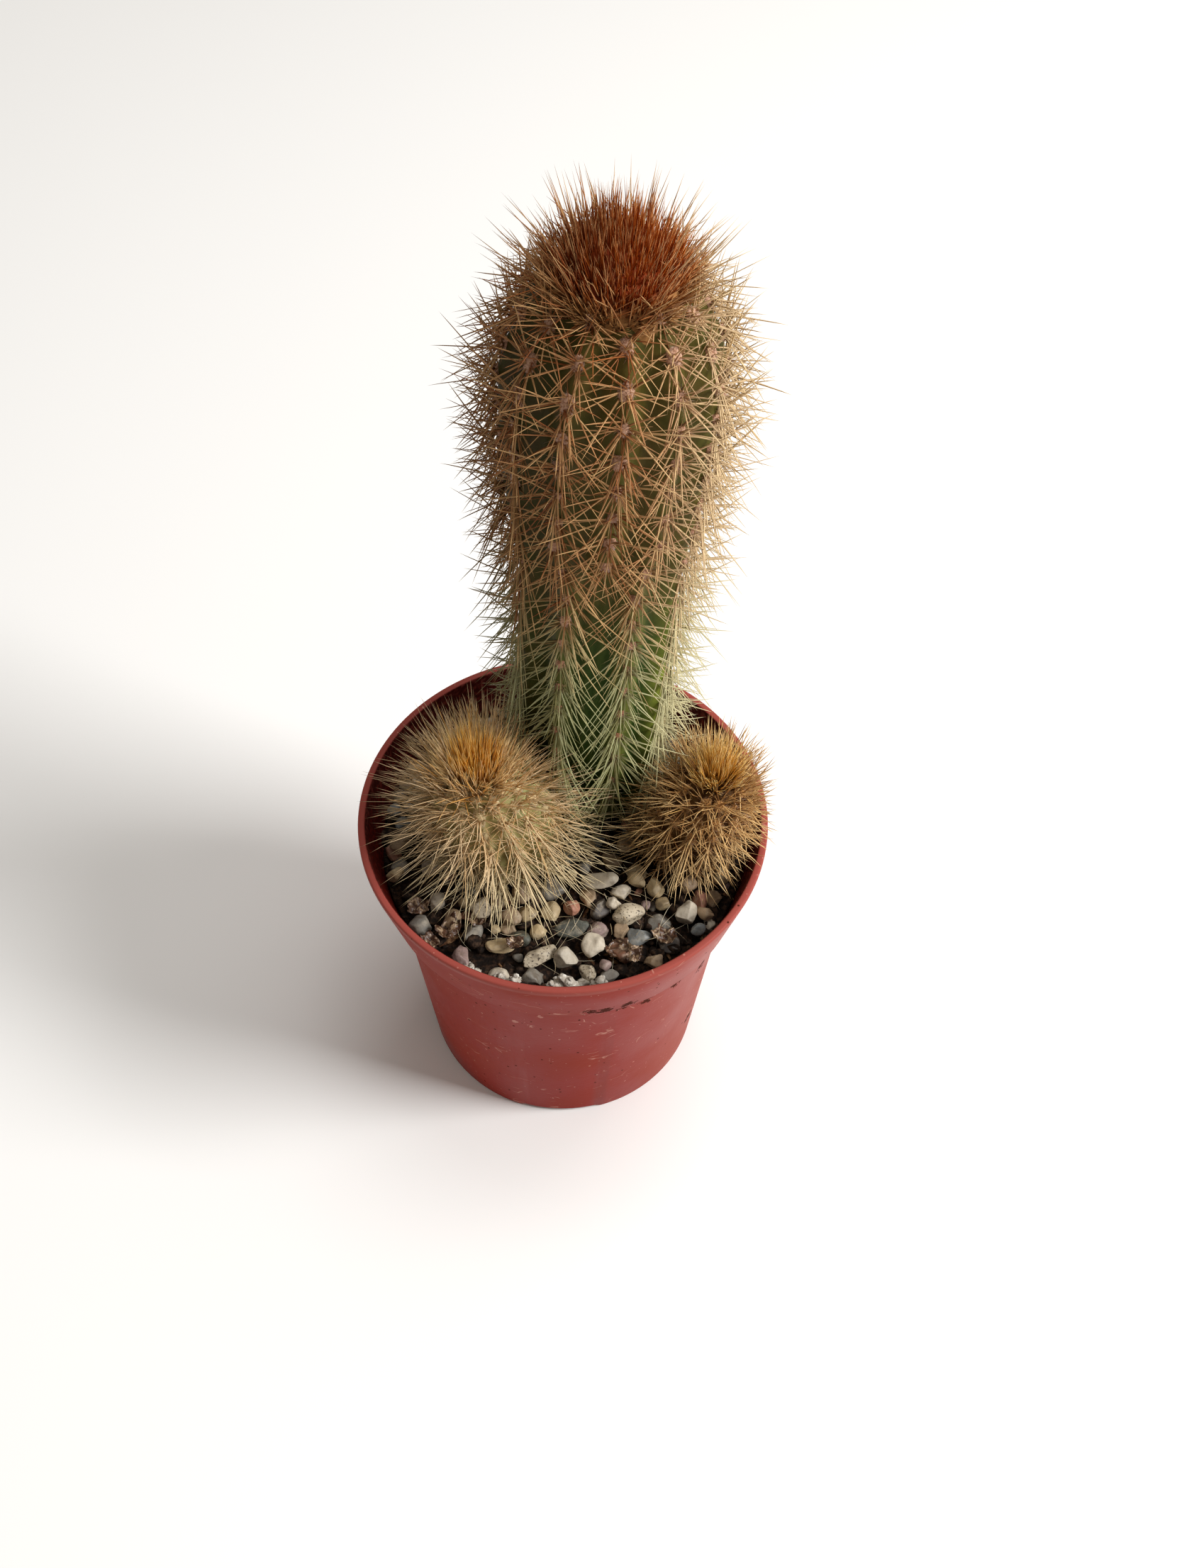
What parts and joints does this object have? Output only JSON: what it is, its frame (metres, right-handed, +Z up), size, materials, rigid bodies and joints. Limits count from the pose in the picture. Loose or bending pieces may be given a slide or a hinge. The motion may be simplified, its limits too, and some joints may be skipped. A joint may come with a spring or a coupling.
{
  "type": "potted espostoa cactus",
  "caption": "Spiny ribbed columnar cactus with young offsets, growing in gravel-topped soil in a small round plastic nursery pot.",
  "frame": {"origin": "on the pot's axis, on the surface that the pot stands on", "axes": "+Z up along the pot's axis; -Y the front, where the two offsets stand; +X to the right seen from the front"},
  "size_m": [0.0656, 0.0654, 0.1654],
  "materials": {
    "pot_plastic": "satin",
    "peat": "matte",
    "pebbles": "matte",
    "tall_skin": "satin",
    "offset_skin": "satin",
    "rust_wool": "matte",
    "amber_wool": "matte"
  },
  "bodies": {
    "root": {"pot": "pot_plastic", "soil": "peat", "gravel": "pebbles", "tall_stem": "tall_skin", "tall_crown": "rust_wool", "left_stem": "offset_skin", "left_crown": "amber_wool", "right_stem": "offset_skin", "right_crown": "amber_wool"}
  },
  "joints": []
}
